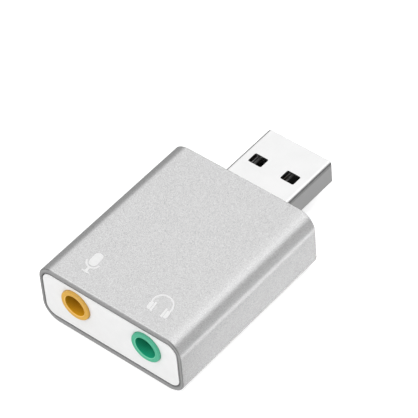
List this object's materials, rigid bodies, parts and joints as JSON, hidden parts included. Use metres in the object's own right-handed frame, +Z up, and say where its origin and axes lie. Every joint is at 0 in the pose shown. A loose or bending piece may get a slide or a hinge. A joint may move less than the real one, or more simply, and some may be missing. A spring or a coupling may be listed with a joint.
{
  "type": "usb sound card",
  "caption": "Small extruded aluminium USB audio adapter with microphone and headphone jacks in one end and a fixed USB-A plug in the other.",
  "frame": {"origin": "under the middle of the whole object's footprint, on the surface that the sleeve lies on", "axes": "+Y from the jacks towards the plug's tip, +X to the headphone jack's side, +Z up"},
  "size_m": [0.0268, 0.0442, 0.0111],
  "materials": {
    "anodised_aluminium": "sand-blasted and anodised, fine grain",
    "white_plastic": "fine moulded satin",
    "board_laminate": "solder mask",
    "plated_steel": "bright nickel plate on folded sheet",
    "black_plastic": "moulded",
    "chip_epoxy": "moulded epoxy",
    "tinned_copper": "tinned",
    "crystal_steel": "plated can",
    "ceramic": "ceramic block",
    "resistor_film": "glazed film",
    "orange_plastic": "moulded, glossy",
    "green_plastic": "moulded, glossy",
    "spring_bronze": "plated leaf",
    "gold_plate": "thin gold plate",
    "capacitor_plastic": "moulded",
    "capacitor_aluminium": "drawn can"
  },
  "bodies": {
    "root": {"audio_chip": "chip_epoxy", "audio_chip_leads": "tinned_copper", "ceramic_capacitors": "ceramic", "chip_resistors": "resistor_film", "circuit_board": "board_laminate", "clock_crystal": "crystal_steel", "front_capacitor_base": "capacitor_plastic", "front_capacitor_can": "capacitor_aluminium", "headphone_jack_body": "green_plastic", "headphone_jack_ring_spring": "spring_bronze", "headphone_jack_sleeve_spring": "spring_bronze", "headphone_jack_tip_spring": "spring_bronze", "housing_sleeve": "anodised_aluminium", "jack_end_plate": "white_plastic", "mic_jack_body": "orange_plastic", "mic_jack_ring_spring": "spring_bronze", "mic_jack_sleeve_spring": "spring_bronze", "mic_jack_tip_spring": "spring_bronze", "rear_capacitor_base": "capacitor_plastic", "rear_capacitor_can": "capacitor_aluminium", "usb_contact_data_minus": "gold_plate", "usb_contact_data_plus": "gold_plate", "usb_contact_ground": "gold_plate", "usb_contact_power": "gold_plate", "usb_end_plate": "white_plastic", "usb_plug_insulator": "black_plastic", "usb_plug_shell": "plated_steel"}
  },
  "joints": []
}
